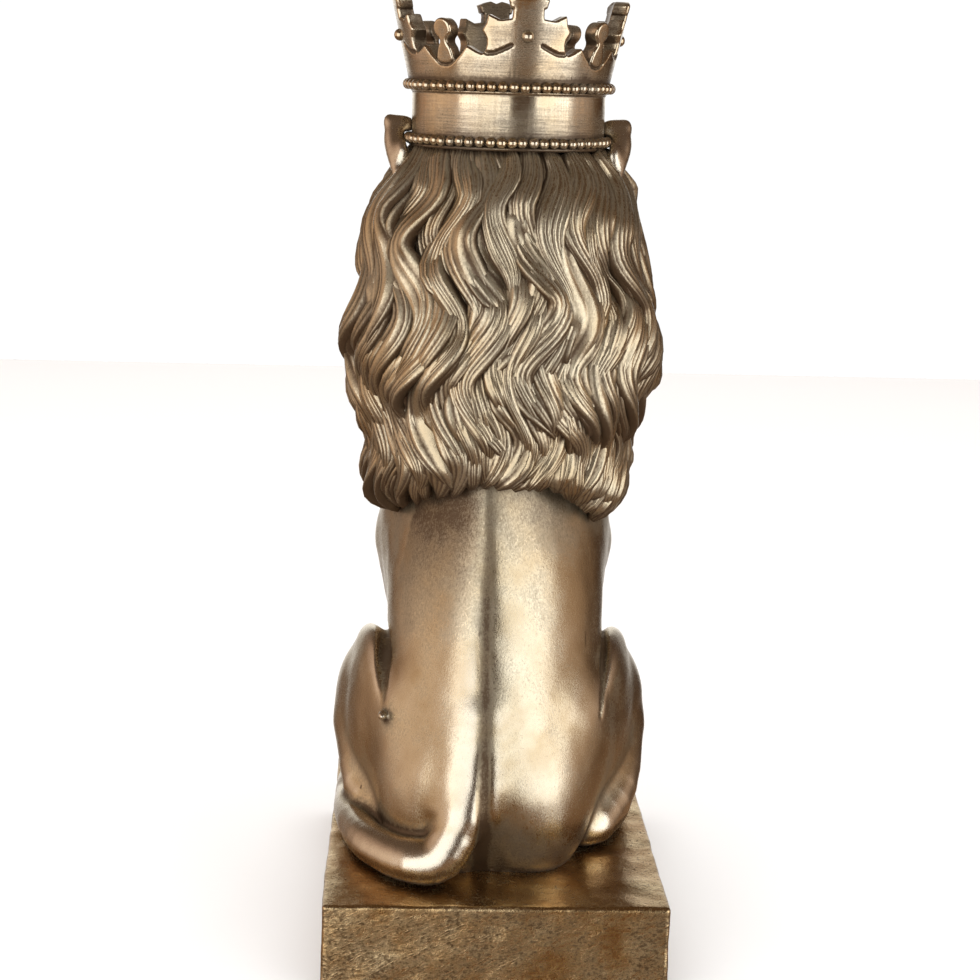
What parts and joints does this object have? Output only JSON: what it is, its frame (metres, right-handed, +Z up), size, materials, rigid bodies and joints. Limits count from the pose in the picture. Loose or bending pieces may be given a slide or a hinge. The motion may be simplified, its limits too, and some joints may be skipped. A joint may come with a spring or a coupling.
{
  "type": "seated lion sculpture",
  "caption": "Decorative gold-lacquered figure of a crowned lion sitting upright on a rectangular plinth, its tail wrapped round one haunch.",
  "frame": {"origin": "middle of the plinth's underside", "axes": "+Z up, the lion looks along -Y, +X is the lion's own left, the side its tail wraps round"},
  "size_m": [0.125, 0.172, 0.3502],
  "materials": {
    "worn_gold_lacquer": "gold lacquer over cast resin, brushed on by hand, dull and dark with age in its strokes",
    "gold_lacquer": "satin gold lacquer over cast resin, with a dark brown patina left in the grooves",
    "crown_gold_lacquer": "satin gold lacquer over cast resin, polished on the band, dark brown between the beads"
  },
  "bodies": {
    "root": {"plinth": "worn_gold_lacquer", "lion": "gold_lacquer", "crown": "crown_gold_lacquer"}
  },
  "joints": []
}
